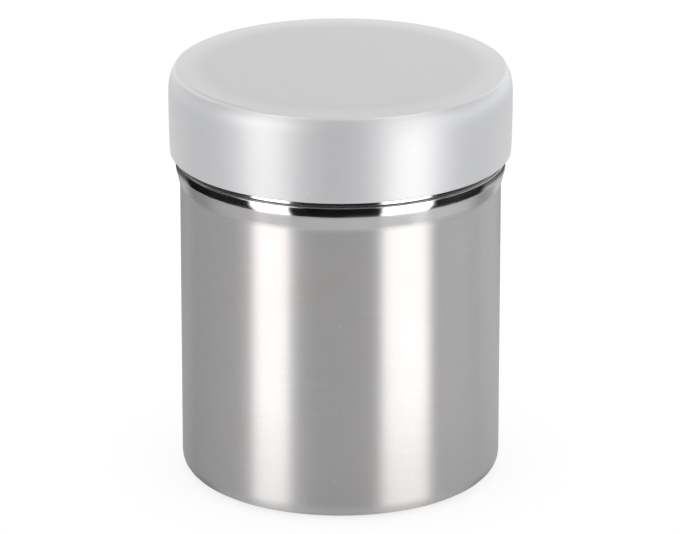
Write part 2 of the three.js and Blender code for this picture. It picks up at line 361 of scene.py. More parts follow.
class Lathe:
    """Turns outlines into sheet-metal and moulded pieces by one geometry recipe."""

    FACETS = 256  # round the axis
    ARC_STEPS = 7  # along each rounded corner
    WELD = 0.0005  # millimetres between points that become one
    CREASE_DEGREES = 50.0

    def __init__(self) -> None:
        """Build the recipe: round the corners, carry the outline round, and roll the thread in."""
        recipe = Recipe("turned_piece")
        guide, weld = recipe.lengths("Guide Radius", "Weld Distance")
        facets = recipe.ask("Facets", Kind.COUNT)
        arc_steps = recipe.ask("Arc Steps", Kind.COUNT)
        rounding = recipe.term("GeometryNodeInputNamedAttribute", {"data_type": "FLOAT"},
                               {"Name": ROUNDING})
        wire = Term(recipe, recipe.asked.outputs["Shape"])
        corners = recipe.term("GeometryNodeMeshToCurve", None, {"Mesh": wire})
        rounded = recipe.term("GeometryNodeFilletCurve", {"mode": "POLY"},
                              {"Curve": corners, "Count": arc_steps, "Radius": rounding})
        circle = recipe.term("GeometryNodeCurvePrimitiveCircle", {"mode": "RADIUS"},
                             {"Resolution": facets, "Radius": guide})
        swept = recipe.term("GeometryNodeCurveToMesh", None, {"Curve": circle, "Profile Curve": rounded})
        welded = recipe.term("GeometryNodeMergeByDistance", None, {"Geometry": swept, "Distance": weld})
        facing_out = recipe.term("GeometryNodeFlipFaces", None, {"Mesh": welded})
        rolled = recipe.term("GeometryNodeSetPosition", None,
                             {"Geometry": facing_out, "Offset": self.thread_push(recipe)})
        recipe.end(recipe.smooth(rolled, math.radians(self.CREASE_DEGREES)))
        self.recipe = recipe

    def thread_push(self, recipe: Recipe) -> Term:
        """How far each point moves out for the thread.

        Args:
            recipe: the tree that asks for the thread's sizes.

        Returns:
            The move, as a vector.
        """
        foot, length, pitch, height, base, fade, limit = recipe.lengths(
            "Thread Foot", "Thread Length", "Thread Pitch", "Thread Height", "Thread Base",
            "Thread Fade Share", "Thread Inner Limit",
        )
        x, y, z = recipe.split(recipe.term("GeometryNodeInputPosition"))
        radius = (x * x + y * y) ** 0.5
        share = (z - foot) / length
        strength = recipe.ramp(recipe.least(share, 1 - share) / fade, 0.0, 1.0)
        outer = recipe.maths("GREATER_THAN", radius, limit)
        phase = z * FULL_TURN / pitch - recipe.maths("ARCTAN2", y, x)
        wave = (1 + recipe.maths("COSINE", phase)) / 2
        push = (base + height * wave) * strength * outer
        return recipe.vector(x / radius * push, y / radius * push, 0.0)

    def turn(self, name: str, outline: Outline, finish: bpy.types.Material,
             thread: dict[str, float] | None = None) -> bpy.types.Object:
        """Turn an outline into a piece.

        Args:
            name: the piece's name.
            outline: its outline.
            finish: its material.
            thread: the thread's inputs, where it has one.

        Returns:
            The finished piece, a plain mesh.
        """
        guide = max(corner[0] for corner in outline.corners) / 2
        wire = outline.wire(name, guide)
        values = {
            "Finish": finish,
            "Guide Radius": guide * MM,
            "Weld Distance": self.WELD * MM,
            "Facets": self.FACETS,
            "Arc Steps": self.ARC_STEPS,
            "Thread Length": MM,
            "Thread Pitch": MM,
            "Thread Fade Share": 1.0,
        }
        return finished(wire, self.recipe, values | (thread or {}))


def finished(base: bpy.types.Object, recipe: Recipe, values: dict[str, Any],
             bevel: float = 0.0) -> bpy.types.Object:
    """Run a recipe on an object and keep the result as its plain mesh.

    Args:
        base: the object that the recipe starts from.
        recipe: the geometry recipe.
        values: the recipe's inputs by name.
        bevel: width that sharp edges are eased by, in millimetres.

    Returns:
        The same object, with a closed mesh that faces out and no modifier.

    Raises:
        ValueError: the mesh faces in.
    """
    run = base.modifiers.new("recipe", "NODES")
    run.node_group = recipe.tree
    for item in recipe.tree.interface.items_tree:
        if item.in_out == "INPUT" and item.name in values:
            run[item.identifier] = values[item.name]
    if bevel:
        ease = base.modifiers.new("eased_edges", "BEVEL")
        ease.width, ease.segments = bevel * MM, 2
        ease.limit_method, ease.angle_limit = "ANGLE", math.radians(Lathe.CREASE_DEGREES)
        ease.use_clamp_overlap = False
    even = base.modifiers.new("even_shading", "WEIGHTED_NORMAL")
    even.keep_sharp = True
    depsgraph = bpy.context.evaluated_depsgraph_get()
    mesh = bpy.data.meshes.new_from_object(
        base.evaluated_get(depsgraph), preserve_all_data_layers=True, depsgraph=depsgraph,
    )
    if ROUNDING in mesh.attributes:
        mesh.attributes.remove(mesh.attributes[ROUNDING])
    mesh.name = base.name
    base.modifiers.clear()
    base.data = mesh
    if enclosed_volume(mesh) < 0:
        raise ValueError(f"{base.name} faces in")
    return base


def enclosed_volume(mesh: bpy.types.Mesh) -> float:
    """Volume inside a closed mesh, below zero where its faces point in."""
    mesh.calc_loop_triangles()
    total = 0.0
    for triangle in mesh.loop_triangles:
        a, b, c = (mesh.vertices[i].co for i in triangle.vertices)
        total += a.dot(b.cross(c))
    return total / 6


def dress(piece: bpy.types.Object, body: str, node: str) -> bpy.types.Object:
    """Tie a piece to the model.

    Args:
        piece: the finished piece.
        body: the body that it moves with.
        node: the model's node that it stands for.

    Returns:
        The same piece.
    """
    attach(piece, body)
    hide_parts(node)
    log.info("%s: %d faces, rides on %s", piece.name, len(piece.data.polygons), body)
    return piece


class SurfaceBoard(Board):
    """A material's tree, with the surface's own place in millimetres."""

    def __init__(self, name: str) -> None:
        """Start a material with an empty tree."""
        self.material = bpy.data.materials.new(name)
        self.material.use_nodes = True
        super().__init__(self.material.node_tree)
        self.tree.nodes.clear()
        place = self.term("ShaderNodeTexCoord", output="Object")
        x, y, z = self.split(place)
        self.x, self.y, self.z = x / MM, y / MM, z / MM  # in millimetres
        self.radius = (self.x * self.x + self.y * self.y) ** 0.5

    def noise(self, vector: Term, scale: float, detail: float = 2.0, roughness: float = 0.5) -> Term:
        """Smooth random values from 0 to 1 over a vector."""
        return self.term("ShaderNodeTexNoise", None,
                         {"Vector": vector, "Scale": scale, "Detail": detail, "Roughness": roughness})

    def here(self) -> Term:
        """The place on the surface as a vector in millimetres."""
        return self.vector(self.x, self.y, self.z)

    def spots(self, scale: float, detail: float, start: float, end: float) -> Term:
        """Scattered patches, 1 where random values lie above a step from start to end."""
        return self.ramp(self.noise(self.here(), scale, detail), start, end)

    def grain(self, width: float, turns: float, detail: float = 2.0) -> Term:
        """Random lines that run round the axis, on walls and on flat faces alike.

        Args:
            width: a line's usual width, in millimetres.
            turns: how often the lines change along one radian.
            detail: finer layers that are added.

        Returns:
            Values from 0 to 1.
        """
        across = (self.z + self.radius) / width
        lines = self.vector(self.x / self.radius * turns, self.y / self.radius * turns, across)
        return self.noise(lines, 1.0, detail)

    def colour_mix(self, share: Any, first: Any, second: Any) -> Term:
        """Mix two colours by a share from 0 to 1."""
        return self.term("ShaderNodeMix", {"data_type": "RGBA"},
                         {"Factor": share, "A": whole(first), "B": whole(second)})

    def tinted(self, colour: Any, level: Any) -> Term:
        """A colour, made darker or lighter by a level around 1."""
        grey = self.vector(level, level, level)
        return self.term("ShaderNodeMix", {"data_type": "RGBA", "blend_type": "MULTIPLY"},
                         {"Factor": 1.0, "A": whole(colour), "B": grey})

    def bump(self, height: Term, depth: float) -> Term:
        """Tilt the surface by a height from 0 to 1, over a depth in millimetres."""
        return self.term("ShaderNodeBump", None,
                         {"Height": height, "Distance": depth * MM, "Strength": 1.0})

    def principled(self, sockets: dict[str, Any]) -> Term:
        """Add the surface shader with its varying and its constant sockets."""
        return self.term("ShaderNodeBsdfPrincipled", None, sockets)

    def surface(self, shader: Term) -> bpy.types.Material:
        """Give the material its surface and return it."""
        leave = self.tree.nodes.new("ShaderNodeOutputMaterial")
        self.plug(leave.inputs["Surface"], shader)
        return self.material


def whole(colour: Any) -> Any:
    """A colour with full alpha, or a term as it is."""
    return (*colour, 1.0) if isinstance(colour, tuple) else colour


def swing(value: Term, width: float) -> Term:
    """A value from 0 to 1, moved to swing evenly about 0 over a width."""
    return (value - 0.5) * width


@dataclass(frozen=True)
class BrushedCanFinish:
    """Drawn steel: brushed round the wall, bright from the bead up, duller and darker towards the foot."""

    flare_from: float  # height in millimetres where the wall begins to flare
    polish_from: float  # height where the brushing ends under the bead
    polish_blur: float = 0.2
    flare_start: float = 0.2  # over flare_from, where the brushing begins to get finer
    flare_end: float = 1.2  # and where it is at its finest
    steel: Colour = (0.765, 0.754, 0.757)
    steel_dark: Colour = (0.715, 0.703, 0.704)
    warm_stain: Colour = (0.75, 0.715, 0.70)
    stain_strength: float = 0.6
    bright: Colour = (0.80, 0.79, 0.785)
    fresh_tone: float = 1.025
    smudge_tone: float = 0.05
    nick_tone: float = 0.12
    brushed_roughness: float = 0.35
    flare_roughness: float = 0.15
    bright_roughness: float = 0.11
    line_roughness: float = 0.12  # between the dullest and the clearest brush line
    flare_line_roughness: float = 0.04
    smudge_roughness: float = 0.05
    bright_smudge_roughness: float = 0.03
    brushed_metallic: float = 0.6
    anisotropy: float = 0.96
    quarter_turn: float = 0.25  # turns the stretched highlights across the brush lines
    fine_share: float = 0.6  # of fine lines in the brushing, the rest is broad
    pit_share: float = 0.25  # of the brushing's depth
    depth: float = 0.004  # in millimetres
    foot_change_from: float = 30.0  # height in millimetres where the wall begins to grow darker, duller and less metallic towards the foot
    foot_darkening: float = 0.11  # these three change it at the foot
    worn_roughness: float = 0.05
    worn_metallic: float = 0.04

    def build(self) -> bpy.types.Material:
        """Make the material."""
        board = SurfaceBoard("brushed_can")
        fine = board.grain(width=0.14, turns=9.0, detail=3.0)
        broad = board.grain(width=0.8, turns=4.0)
        lines = fine * self.fine_share + broad * (1 - self.fine_share)
        smudges = board.noise(board.here(), scale=0.05, detail=3.0)
        stains = board.spots(scale=0.075, detail=3.0, start=0.45, end=0.75)
        nicks = board.spots(scale=1.1, detail=0.0, start=0.82, end=0.86)
        edge = swing(board.noise(board.here(), scale=0.9, detail=1.0), self.polish_blur)
        polished = board.ramp(board.z + edge, self.polish_from, self.polish_from + self.polish_blur)
        towards_foot = board.ramp(board.z, self.foot_change_from, 0.0) * (1 - polished)
        tone = board.colour_mix(board.ramp(lines, 0.25, 0.75), self.steel_dark, self.steel)
        tone = board.colour_mix(stains * self.stain_strength, tone, self.warm_stain)
        tone = board.colour_mix(polished, tone, self.bright)
        # the colour grows darker towards the foot
        tone = board.tinted(tone, self.fresh_tone - smudges * self.smudge_tone
                            - towards_foot * self.foot_darkening + nicks * self.nick_tone)
        rough = self.brushed_roughness + swing(lines, self.line_roughness)
        rough = rough + swing(smudges, self.smudge_roughness) + towards_foot * self.worn_roughness
        flared = board.ramp(board.z, self.flare_from + self.flare_start, self.flare_from + self.flare_end)
        flare_rough = self.flare_roughness + lines * self.flare_line_roughness
        bright_rough = self.bright_roughness + smudges * self.bright_smudge_roughness
        rough = rough * (1 - flared) + flare_rough * flared
        rough = rough * (1 - polished) + bright_rough * polished
        brushed_metal = self.brushed_metallic - towards_foot * self.worn_metallic
        pits = board.noise(board.here(), scale=0.25, detail=1.0)
        return board.surface(board.principled({
            "Base Color": tone,
            "Metallic": brushed_metal * (1 - polished) + polished,
            "Roughness": rough,
            "Anisotropic": self.anisotropy,
            "Anisotropic Rotation": self.quarter_turn,
            "Normal": board.bump(lines * (1 - polished) + pits * self.pit_share, self.depth),
        }))


@dataclass(frozen=True)
class PolishedCollarFinish:
    """Mirror-polished steel with faint rub lines."""

    bright: Colour = (0.82, 0.81, 0.80)
    rub_and_edge_highlight: Colour = (0.74, 0.73, 0.725)
    metallic: float = 0.97
    roughness: float = 0.07
    line_roughness: float = 0.04
    cloud_roughness: float = 0.03
    line_share: float = 0.4  # of the clouds' depth
    depth: float = 0.006  # in millimetres

    def build(self) -> bpy.types.Material:
        """Make the material."""
        board = SurfaceBoard("polished_collar")
        lines = board.grain(width=0.35, turns=3.0)
        clouds = board.noise(board.here(), scale=0.12, detail=3.0)
        tone = board.colour_mix(board.ramp(lines, 0.35, 0.8), self.bright, self.rub_and_edge_highlight)
        rough = self.roughness + lines * self.line_roughness + clouds * self.cloud_roughness
        return board.surface(board.principled({
            "Base Color": tone,
            "Metallic": self.metallic,
            "Roughness": rough,
            "Normal": board.bump(lines * self.line_share + clouds, self.depth),
        }))


@dataclass(frozen=True)
class SatinSieveFinish:
    """Pressed and pierced steel with a satin grain that runs straight across the blank."""

    name: str
    steel: Colour = (0.68, 0.675, 0.665)
    steel_dark: Colour = (0.56, 0.555, 0.55)
    roughness: float = 0.3
    grain_roughness: float = 0.14
    cloud_roughness: float = 0.05
    fresh_tone: float = 1.04
    cloud_tone: float = 0.08
    grain_width: float = 0.12  # in millimetres, and so is the depth
    grain_stretch: float = 0.15  # lines in a millimetre along the grain
    cloud_share: float = 0.3  # of the grain's depth
    depth: float = 0.004

    def build(self) -> bpy.types.Material:
        """Make the material."""
        board = SurfaceBoard(self.name)
        width = self.grain_width
        along = board.vector(board.x * self.grain_stretch, board.y / width, board.z / width)
        rolled = board.noise(along, scale=1.0, detail=3.0)
        clouds = board.noise(board.here(), scale=0.2, detail=3.0)
        tone = board.colour_mix(board.ramp(rolled, 0.25, 0.75), self.steel_dark, self.steel)
        tone = board.tinted(tone, self.fresh_tone - clouds * self.cloud_tone)
        return board.surface(board.principled({
            "Base Color": tone,
            "Metallic": 1.0,
            "Roughness": self.roughness + swing(rolled, self.grain_roughness) + clouds * self.cloud_roughness,
            "Normal": board.bump(rolled + clouds * self.cloud_share, self.depth),
        }))


@dataclass(frozen=True)
class SoftSealFinish:
    """White silicone with a faint bloom."""

    fresh: Colour = (0.80, 0.79, 0.765)
    dusty: Colour = (0.70, 0.685, 0.655)
    roughness: float = 0.55
    bloom_roughness: float = 0.2
    pore_depth: float = 0.02  # in millimetres
    softness: float = 0.15  # share of the light that enters it
    light_reach: float = 0.002  # how far that light goes, in metres

    def build(self) -> bpy.types.Material:
        """Make the material."""
        board = SurfaceBoard("soft_seal")
        bloom = board.noise(board.here(), scale=0.35, detail=4.0)
        pores = board.noise(board.here(), scale=6.0)
        return board.surface(board.principled({
            "Base Color": board.colour_mix(bloom, self.fresh, self.dusty),
            "Roughness": self.roughness + swing(bloom, self.bloom_roughness),
            "Normal": board.bump(pores, self.pore_depth),
            "Subsurface Weight": self.softness,
            "Subsurface Scale": self.light_reach,
        }))


@dataclass(frozen=True)
class FrostedCapFinish:
    """Plastic with a pale satin coat outside and an inside painted dark as painted shade."""

    opening_radius: float  # of the collar under the cap's crown
    crown_height: float  # height of the top edge
    edge_radius: float
    inner_top: float
    inside_shade_radius: float  # the inside's painted shade ends here under the lip
    inside_shade_blur: float = 0.12  # in millimetres, as all lengths here are
    crown_blur: float = 0.3
    pale_from: float = 4.0  # outside the opening's edge, where the painted shade on top begins inwards
    dark_from: float = 2.6  # inside it, where the painted shade is at its darkest
    side: Colour = (0.726, 0.734, 0.757)
    # painted shade over the opening, then a painted highlight in the pale band round it
    centre: Colour = (0.65, 0.65, 0.648)
    band: Colour = (0.875, 0.88, 0.905)
    rub_and_edge_highlight: Colour = (0.95, 0.955, 0.97)  # painted highlight along the top edge
    # painted shade of the cap's inside, which the bead below mirrors
    inside_shade: Colour = (0.13, 0.125, 0.12)
    fresh_tone: float = 1.02
    cloud_tone: float = 0.04
    haze_tone: float = 0.03
    frost_tone: float = 0.05
    line_tone: float = 0.03
    speck_tone: float = 0.1
    edge_shade_tone: float = 0.3
    metallic: float = 0.61
    roughness: float = 0.45
    haze_roughness: float = 0.06
    cloud_roughness: float = 0.04
    gloss: float = 0.3
    gloss_roughness: float = 0.2
    sheen: float = 0.8
    sheen_roughness: float = 0.8
    haze_stretch: float = 0.35  # up the wall
    frost_share: float = 0.6  # of the haze's depth
    depth: float = 0.01
    edge_highlight_width: float = 0.35
    edge_highlight_share: float = 0.8
    highlight_fade_share: float = 0.2  # of the broader painted highlight under it
    shade_x_range: tuple[float, float] = (-16.0, -22.0)  # the painted shade lies from the first x to the second
    shade_y_range: tuple[float, float] = (-12.0, -20.0)  # and so for y

    def build(self) -> bpy.types.Material:
        """Make the material."""
        board = SurfaceBoard("frosted_cap")
        clouds = board.noise(board.here(), scale=0.05, detail=3.0)
        hazy = board.vector(board.x, board.y, board.z * self.haze_stretch)
        haze = board.noise(hazy, scale=0.16, detail=4.0, roughness=0.6)
        frost = board.noise(board.here(), scale=2.2, detail=3.0)
        specks = board.spots(scale=1.3, detail=0.0, start=0.80, end=0.84)
        lines = board.grain(width=0.25, turns=6.0)
        # painted highlight along the top edge, over the coat's colour
        tone = board.colour_mix(self.edge_highlight(board), self.coat_and_crown_light(board), self.rub_and_edge_highlight)
        mottle = swing(haze, self.haze_tone) + swing(frost, self.frost_tone) + swing(lines, self.line_tone)
        tone = board.tinted(tone, self.fresh_tone - clouds * self.cloud_tone + mottle
                            # the dark line inside the edge is painted shade
                            + specks * self.speck_tone - self.edge_shade_line(board))
        inside_shade = self.shaded_inside(board)
        rough = self.roughness + swing(haze, self.haze_roughness) + swing(clouds, self.cloud_roughness)
        return board.surface(board.principled({
            "Base Color": board.colour_mix(inside_shade, tone, self.inside_shade),
            "Metallic": self.metallic * (1 - inside_shade),
            "Roughness": rough,
            "Coat Weight": self.gloss,
            "Coat Roughness": self.gloss_roughness,
            "Sheen Weight": self.sheen,
            "Sheen Roughness": self.sheen_roughness,
            "Normal": board.bump(frost * self.frost_share + haze, self.depth),
        }))

    def coat_and_crown_light(self, board: SurfaceBoard) -> Term:
        """Colour of the coat, cool on the side, with painted shade over the opening and a painted highlight
        in a pale band round it on top.
        """
        on_top = board.ramp(board.z, self.crown_height - self.crown_blur, self.crown_height)
        over_opening = board.ramp(board.radius, self.opening_radius + self.pale_from,
                                  self.opening_radius - self.dark_from)
        return board.colour_mix(on_top, self.side,
                                board.colour_mix(over_opening, self.band, self.centre))

    def shaded_inside(self, board: SurfaceBoard) -> Term:
        """1 on the cap's inside, which is painted dark as painted shade."""
        edge = self.inside_shade_blur
        wander = swing(board.noise(board.here(), scale=0.8), edge)
        within = board.ramp(board.radius + wander, self.inside_shade_radius + edge, self.inside_shade_radius)
        return within * board.ramp(board.z, self.inner_top + 2 * edge, self.inner_top + edge)

    def edge_highlight(self, board: SurfaceBoard) -> Term:
        """How much of the painted highlight each point of the edge gets, from 0 to 1."""
        width = self.edge_highlight_width
        below = board.ramp(board.z, self.crown_height - 1.5 * width, self.crown_height - width / 4)
        beside = board.ramp(board.radius, self.edge_radius - 1.5 * width, self.edge_radius - width / 2)
        fading = board.ramp(board.z, self.crown_height - 8 * width, self.crown_height) * self.highlight_fade_share
        return board.least(below * beside * self.edge_highlight_share + fading * beside, 1.0)

    def edge_shade_line(self, board: SurfaceBoard) -> Term:
        """Painted shade along the front-left of the edge, just inside the painted highlight."""
        width = self.edge_highlight_width
        inner = board.ramp(board.radius, self.edge_radius - 4 * width, self.edge_radius - 3 * width)
        outer = board.ramp(board.radius, self.edge_radius - 1.2 * width, self.edge_radius - 2 * width)
        on_side = board.ramp(board.x, *self.shade_x_range) * board.ramp(board.y, *self.shade_y_range)
        on_top = board.ramp(board.z, self.crown_height - width, self.crown_height - width / 2)
        return inner * outer * on_side * on_top * self.edge_shade_tone


@dataclass
class Shaker:
    """Sizes that several pieces share, in millimetres, read from the model where it has them."""

    seat_gap: float = 0.3
    joint_gap: float = 0.06  # between the can's shoulder and the collar's foot
    foot_trim: float = 0.4  # taken off the collar's foot, to where the photograph shows it
    thread_clearance: float = 0.3
    can_wall: float = 0.7
    bead_proud: float = 0.95
    collar_wall: float = 0.5
    collar_flange_width: float = 4.6
    collar_corner_radius: float = 1.5
    neck_fillet_radius: float = 0.4
    rim_curl_radius: float = 0.8
    thread_pitch: float = 3.2
    thread_turns: float = 1.5

    def __post_init__(self) -> None:
        """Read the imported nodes' radii and heights."""
        self.can_radius = self.reach("can_body") - self.bead_proud
        self.rim_height = self.top("can_body")
        self.collar_radius = self.reach("sieve_collar")
        self.collar_foot = self.foot("sieve_collar") + self.foot_trim
        self.collar_top = self.top("sieve_collar")
        self.collar_bore = self.collar_radius - self.collar_wall
        self.collar_opening = self.collar_radius - self.collar_flange_width
        self.shoulder_height = self.collar_foot - self.joint_gap
        self.thread = self.rolled_thread()
        self.neck_radius = self.collar_bore - self.thread_clearance - self.thread.height

    def reach(self, node: str) -> float:
        """Largest radius of a node, in millimetres."""
        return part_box(node)[1].x / MM

    def foot(self, node: str) -> float:
        """Lowest height of a node, in millimetres."""
        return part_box(node)[0].z / MM

    def top(self, node: str) -> float:
        """Highest height of a node, in millimetres."""
        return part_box(node)[1].z / MM

    def rolled_thread(self) -> RolledThread:
        """The thread in the middle of the neck."""
        low = self.shoulder_height + self.neck_fillet_radius
        high = self.rim_height - 2 * self.rim_curl_radius
        length = self.thread_pitch * self.thread_turns
        return RolledThread(foot=(low + high - length) / 2, length=length, pitch=self.thread_pitch)


@dataclass
class DrawnCan:
    """The can: recessed base, foot ring, straight wall, flared bead, threaded neck, curled mouth."""

    shaker: Shaker
    corner_radius: float = 3.9
    straight_height: float = 66.15
    crest_height: float = 69.95
    foot_width: float = 1.6
    base_recess: float = 1.6
    recess_slope_width: float = 2.0
    polish_drop: float = 0.3
    flare_rounding: float = 4.0
    crest_rounding: float = 6.0
    bead_top_radius: float = 0.32
    foot_rounding: float = 0.7
    recess_rounding: float = 1.2
    inner_bead_rounding: float = 0.1
    curl_steps: int = 22

    def outside(self, line: Outline) -> None:
        """Add the face that shows, from the middle of the base up to the mouth."""
        own = self.shaker
        foot_outer = own.can_radius - self.corner_radius
        foot_inner = foot_outer - self.foot_width
        line.go(0, self.base_recess)
        line.go(foot_inner - self.recess_slope_width, self.base_recess, self.recess_rounding)
        line.go(foot_inner, 0, self.foot_rounding)
        line.go(own.can_radius, 0, self.corner_radius)
        line.go(own.can_radius, self.straight_height, self.flare_rounding)
        line.go(own.can_radius + own.bead_proud, self.crest_height, self.crest_rounding)
        line.go(own.can_radius + own.bead_proud, own.shoulder_height, self.bead_top_radius)
        line.go(own.neck_radius, own.shoulder_height, own.neck_fillet_radius)
        line.follow(own.thread.wall(own.neck_radius))

    def mouth(self, line: Outline) -> None:
        """Add the rim, which curls inwards until it meets the wall."""
        own = self.shaker
        curl = own.rim_curl_radius
        centre = (own.neck_radius - curl, own.rim_height - curl)
        meets = FULL_TURN - math.acos((own.neck_radius - own.can_wall - centre[0]) / curl)
        line.follow(arc_points(centre, curl, curl, 0, meets, self.curl_steps))

    def inside(self, line: Outline) -> None:
        """Add the inner face, from the neck down to the middle of the base."""
        own = self.shaker
        wall = own.can_wall
        foot_outer = own.can_radius - self.corner_radius
        foot_inner = foot_outer - self.foot_width
        recess_edge = foot_inner - self.recess_slope_width
        slope = math.atan2(self.base_recess, self.recess_slope_width)
        shift = wall * math.tan(slope / 2)
        neck_bore = own.neck_radius - wall
        inner_shoulder = own.shoulder_height - wall
        inner_bead = own.can_radius + own.bead_proud - wall
        line.follow(reversed(own.thread.wall(neck_bore)))
        line.go(neck_bore, inner_shoulder, own.neck_fillet_radius + wall)
        line.go(inner_bead, inner_shoulder, self.inner_bead_rounding)
        line.go(inner_bead, self.crest_height, self.crest_rounding / 2)
        line.go(own.can_radius - wall, self.straight_height, self.flare_rounding)
        line.go(own.can_radius - wall, wall, self.corner_radius - wall)
        line.go(foot_inner + shift, wall, self.foot_rounding)
        line.go(recess_edge + shift, self.base_recess + wall, self.recess_rounding - wall)
        line.go(0, self.base_recess + wall)

    def build(self, lathe: Lathe) -> None:
        """Turn the can and dress it."""
        line = Outline(Ends.ON_AXIS)
        self.outside(line)
        self.mouth(line)
        self.inside(line)
        own = self.shaker
        finish = BrushedCanFinish(flare_from=self.straight_height,
                                  polish_from=self.crest_height - self.polish_drop)
        reach = own.can_wall + own.thread.height
        thread = own.thread.inputs(0.0, own.neck_radius - reach)
        dress(lathe.turn("drawn_can", line, finish.build(), thread), "can", "can_body")


@dataclass
class MouthSeal:
    """The soft ring between the can's mouth and the sieve top."""

    shaker: Shaker
    width: float = 2.3
    chamfer: float = 0.35

    def build(self, lathe: Lathe) -> None:
        """Turn the ring and dress it."""
        outer, foot = self.shaker.reach("mouth_gasket"), self.shaker.foot("mouth_gasket")
        bore, top = outer - self.width, self.shaker.top("mouth_gasket")
        line = Outline(Ends.JOINED)
        for radius, height in ((bore, foot), (outer, foot), (outer, top), (bore, top)):
            line.go(radius, height, self.chamfer)
        dress(lathe.turn("seal_ring", line, SoftSealFinish().build()), "seal", "mouth_gasket")


@dataclass
class SieveTop:
    """The screw collar with its pierced plate and the ring that clamps it."""

    shaker: Shaker
    edge_rounding: float = 0.2
    lip_rounding: float = 0.22
    plate_thickness: float = 0.5
    dome_height: float = 0.9
    plate_margin: float = 2.4
    hole_radius: float = 1.1
    hole_rings: int = 4
    holes_per_ring: int = 6
    hole_facets: int = 32
    hole_edge: float = 0.07
    clamp_wall: float = 0.6
    clamp_bend: float = 0.5

    def collar(self, lathe: Lathe) -> None:
        """Turn the polished collar, with the neck's thread rolled into its skirt."""
        own = self.shaker
        foot, top, wall = own.collar_foot, own.collar_top, own.collar_wall
        line = Outline(Ends.JOINED)
        line.go(own.collar_radius, foot, self.edge_rounding)
        line.follow(own.thread.wall(own.collar_radius))
        line.go(own.collar_radius, top, own.collar_corner_radius)
        line.go(own.collar_opening, top, self.lip_rounding)
        line.go(own.collar_opening, top - wall, self.lip_rounding)
        line.go(own.collar_bore, top - wall, own.collar_corner_radius - wall)
        line.follow(reversed(own.thread.wall(own.collar_bore)))
        line.go(own.collar_bore, foot, self.edge_rounding)
        thread = own.thread.inputs(-own.thread.height, own.neck_radius)
        piece = lathe.turn("screw_collar", line, PolishedCollarFinish().build(), thread)
        dress(piece, "sieve_top", "sieve_collar")

    def clamp_ring(self, lathe: Lathe, finish: bpy.types.Material) -> None:
        """Turn the angled ring that holds the plate's edge up."""
        outer, foot = self.shaker.reach("sieve_clamp_ring"), self.shaker.foot("sieve_clamp_ring")
        top, wall = self.shaker.top("sieve_clamp_ring"), self.clamp_wall
        line = Outline(Ends.JOINED)
        line.go(outer, foot, self.edge_rounding)
        line.go(outer, top, self.clamp_bend)
        line.go(self.shaker.collar_opening, top, self.edge_rounding)
        line.go(self.shaker.collar_opening, top - wall, self.edge_rounding)
        line.go(outer - wall, top - wall, self.clamp_bend / 2)
        line.go(outer - wall, foot, self.edge_rounding)
        dress(lathe.turn("clamp_ring", line, finish), "sieve_top", "sieve_clamp_ring")

    def hole_places(self, recipe: Recipe, field_radius: Term, rings: Term, per_ring: Term) -> Term:
        """Points for the holes: one in the middle, and rings that each hold a set more.

        Args:
            recipe: the tree under construction.
            field_radius: radius of the outermost ring of holes.
            rings: number of rings.
            per_ring: holes in the first ring.

        Returns:
            The points.
        """
        total = 1 + per_ring * rings * (rings + 1) / 2
        index = recipe.term("GeometryNodeInputIndex")
        # A hole's ring is the root of the same sum, solved for the number of rings
        rounding_guard = 0.0001
        ring = recipe.maths("CEIL", ((1 + index * 8 / per_ring) ** 0.5 - 1) / 2 - rounding_guard)
        in_ring = index - 1 - per_ring * ring * (ring - 1) / 2
        angle = in_ring * FULL_TURN / (per_ring * ring)
        out = ring * field_radius / rings
        spot = recipe.vector(out * recipe.maths("COSINE", angle), out * recipe.maths("SINE", angle), 0.0)
        return recipe.term("GeometryNodePoints", None, {"Count": total, "Position": spot})

    def plate_recipe(self) -> Recipe:
        """Recipe of the pierced plate: fill the rim round its holes, thicken it and press its dome."""
        recipe = Recipe("pierced_plate")
        rim, thickness, foot, dome, dome_radius, hole, field_radius, weld = recipe.lengths(
            "Plate Radius", "Thickness", "Foot Height", "Dome Height", "Dome Radius", "Hole Radius",
            "Field Radius", "Weld Distance",
        )
        rim_facets, hole_facets = (recipe.ask(n, Kind.COUNT) for n in ("Rim Facets", "Hole Facets"))
        rings, per_ring = (recipe.ask(n, Kind.LENGTH) for n in ("Rings", "Holes Per Ring"))
        edge, bore = (recipe.term("GeometryNodeCurvePrimitiveCircle", {"mode": "RADIUS"},
                                  {"Resolution": facets, "Radius": radius})
                      for facets, radius in ((rim_facets, rim), (hole_facets, hole)))
        places = self.hole_places(recipe, field_radius, rings, per_ring)
        bores = recipe.term("GeometryNodeInstanceOnPoints", None, {"Points": places, "Instance": bore})
        loose = recipe.term("GeometryNodeRealizeInstances", None, {"Geometry": bores})
        blank = recipe.term("GeometryNodeFillCurve", {"mode": "TRIANGLES"},
                            {"Curve": recipe.join(edge, loose)})
        fine = recipe.term("GeometryNodeSubdivideMesh", None, {"Mesh": blank, "Level": 1})
        raised = recipe.term("GeometryNodeExtrudeMesh", {"mode": "FACES"}, {
            "Mesh": fine, "Offset": recipe.vector(0.0, 0.0, thickness), "Individual": False,
        })
        under = recipe.term("GeometryNodeFlipFaces", None, {"Mesh": fine})
        closed = recipe.term("GeometryNodeMergeByDistance", None,
                             {"Geometry": recipe.join(raised, under), "Distance": weld})
        x, y, _ = recipe.split(recipe.term("GeometryNodeInputPosition"))
        share = recipe.least((x * x + y * y) / (dome_radius * dome_radius), 1.0)
        lift = recipe.vector(0.0, 0.0, foot + dome * (1 - share))
        pressed = recipe.term("GeometryNodeSetPosition", None, {"Geometry": closed, "Offset": lift})
        recipe.end(recipe.smooth(pressed, math.radians(Lathe.CREASE_DEGREES)))
        return recipe

